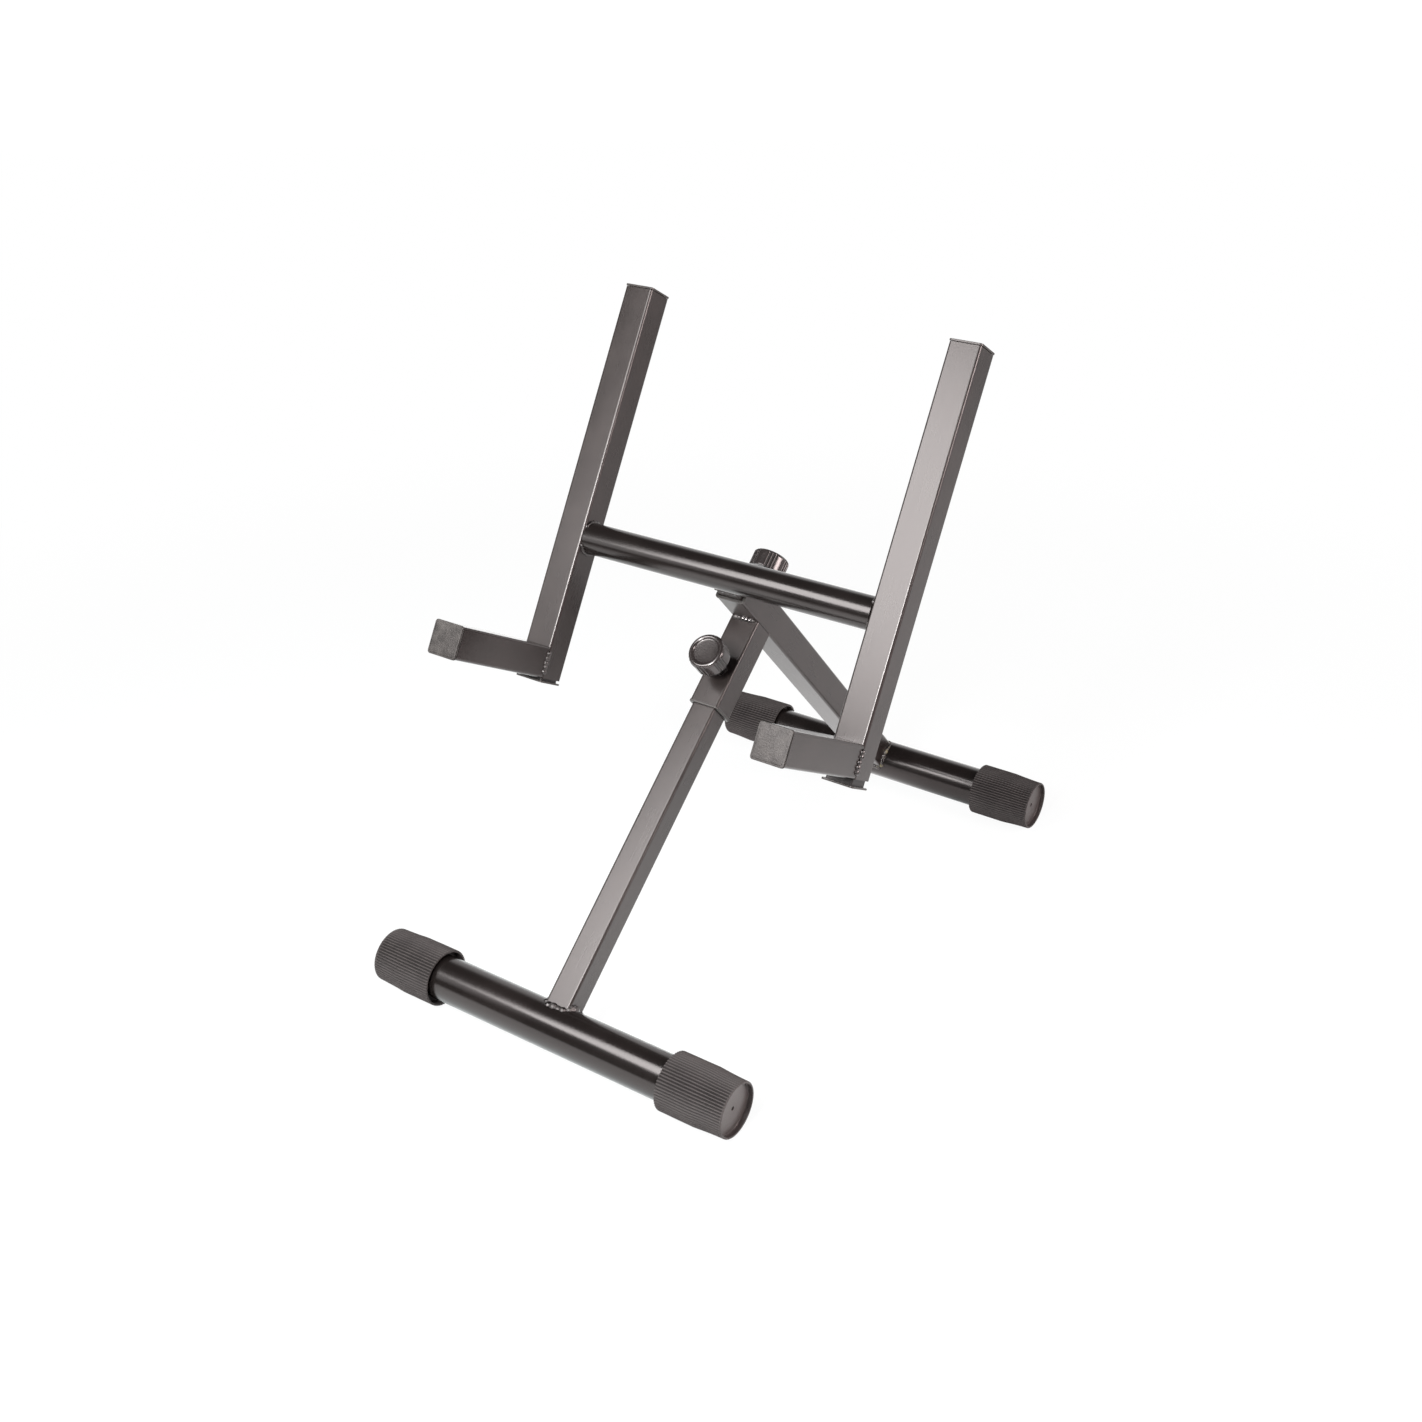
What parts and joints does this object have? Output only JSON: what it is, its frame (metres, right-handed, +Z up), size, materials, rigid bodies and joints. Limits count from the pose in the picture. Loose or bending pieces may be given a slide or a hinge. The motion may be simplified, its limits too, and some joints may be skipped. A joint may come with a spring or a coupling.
{
  "type": "amp stand",
  "caption": "Tilt-back floor stand for an amplifier: crossed telescoping square-tube legs on round rubber-footed bases carry a sloping cradle with forward arms, set by fluted clamp knobs.",
  "frame": {"origin": "on the floor, midway between the two round base tubes and midway between their ends", "axes": "+Z up, -Y towards the side the arms point to, +X to the right for someone who faces the stand from that side"},
  "size_m": [0.38, 0.6296, 0.5712],
  "materials": {
    "black_paint": "satin black paint over welded steel tube",
    "rubber_black": "matt moulded rubber",
    "plug_plastic": "moulded plastic, faintly grained",
    "bush_plastic": "smooth moulded plastic",
    "knob_plastic": "satin moulded plastic",
    "zinc_steel": "zinc-plated thread"
  },
  "bodies": {
    "rear_frame": {"rear_base_tube": "black_paint", "rear_foot_left": "rubber_black", "rear_foot_right": "rubber_black", "rear_leg_tube": "black_paint", "rear_leg_weld": "black_paint", "rear_leg_bush": "bush_plastic", "rear_lock_nut": "black_paint", "front_sleeve": "black_paint", "sleeve_weld": "black_paint", "sleeve_bush": "bush_plastic", "front_lock_nut": "black_paint"},
    "front_leg": {"front_base_tube": "black_paint", "front_foot_left": "rubber_black", "front_foot_right": "rubber_black", "front_leg_tube": "black_paint", "front_leg_weld": "black_paint", "front_leg_glide": "bush_plastic"},
    "cradle": {"upright_left": "black_paint", "upright_right": "black_paint", "arm_left": "black_paint", "arm_right": "black_paint", "arm_weld_left": "black_paint", "arm_weld_right": "black_paint", "arm_cap_left": "plug_plastic", "arm_cap_right": "plug_plastic", "upright_top_plug_left": "plug_plastic", "upright_top_plug_right": "plug_plastic", "upright_bottom_plug_left": "plug_plastic", "upright_bottom_plug_right": "plug_plastic", "crossbar": "black_paint", "crossbar_weld_left": "black_paint", "crossbar_weld_right": "black_paint", "cradle_post": "black_paint", "post_weld": "black_paint", "post_glide": "bush_plastic"},
    "front_screw": {"front_lock_screw": "zinc_steel"},
    "front_knob": {"front_lock_knob": "knob_plastic"},
    "rear_screw": {"rear_lock_screw": "zinc_steel"},
    "rear_knob": {"rear_lock_knob": "knob_plastic"}
  },
  "joints": [
    {"name": "front_leg_slide", "type": "slide", "parent": "rear_frame", "child": "front_leg", "axis": [0, -0.7581, -0.6521], "range_m": [0, 0.035]},
    {"name": "cradle_slide", "type": "slide", "parent": "rear_frame", "child": "cradle", "axis": [0, -0.682, 0.7314], "range_m": [0, 0.12]},
    {"name": "front_knob_turn", "type": "hinge", "parent": "front_screw", "child": "front_knob", "pos_m": [0, -0.03047, 0.26811], "axis": [0, -0.6521, 0.7581], "range_deg": [0, 720]},
    {"name": "front_screw_feed", "type": "slide", "parent": "rear_frame", "child": "front_screw", "axis": [0, -0.6521, 0.7581], "range_m": [0, 0.0025]},
    {"name": "rear_knob_turn", "type": "hinge", "parent": "rear_screw", "child": "rear_knob", "pos_m": [0, 0.03101, 0.3244], "axis": [0, 0.7314, 0.682], "range_deg": [0, 720]},
    {"name": "rear_screw_feed", "type": "slide", "parent": "rear_frame", "child": "rear_screw", "axis": [0, 0.7314, 0.682], "range_m": [0, 0.0025]}
  ],
  "couplings": [
    {"joint": "front_knob_turn", "follows": "front_screw_feed", "rad_per_m": 5026.5},
    {"joint": "rear_knob_turn", "follows": "rear_screw_feed", "rad_per_m": 5026.5}
  ]
}
